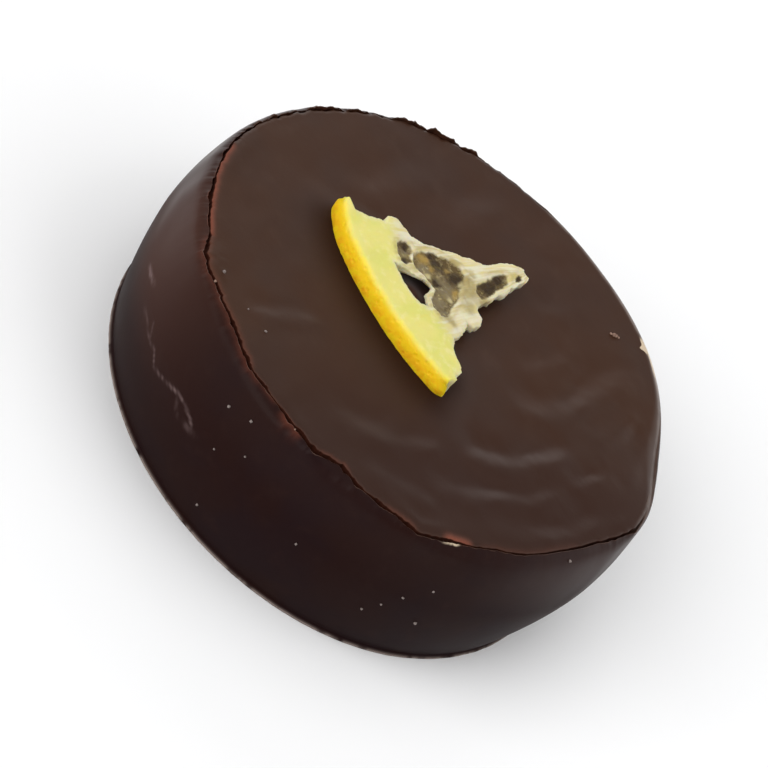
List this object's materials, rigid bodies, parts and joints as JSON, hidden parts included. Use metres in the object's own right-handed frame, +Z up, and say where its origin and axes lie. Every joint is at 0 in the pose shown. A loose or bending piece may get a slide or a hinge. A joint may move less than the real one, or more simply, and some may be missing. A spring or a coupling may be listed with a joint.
{
  "type": "chocolate-coated butter cookie with lemon",
  "caption": "Thick round butter cookie in a satin dark chocolate coat cracked along its rim, topped with a torn piece of dried lemon slice.",
  "frame": {"origin": "middle of the flat base that the cookie rests on", "axes": "+Z up through the top sheet; the lemon's rind faces -Y and its point lies towards +Y"},
  "size_m": [0.061, 0.061, 0.0232],
  "materials": {
    "dark_chocolate": "satin dark chocolate",
    "dried_lemon": "dried lemon rind, pith and pulp"
  },
  "bodies": {
    "root": {"coated_cookie": "dark_chocolate", "lemon_piece": "dried_lemon"}
  },
  "joints": []
}
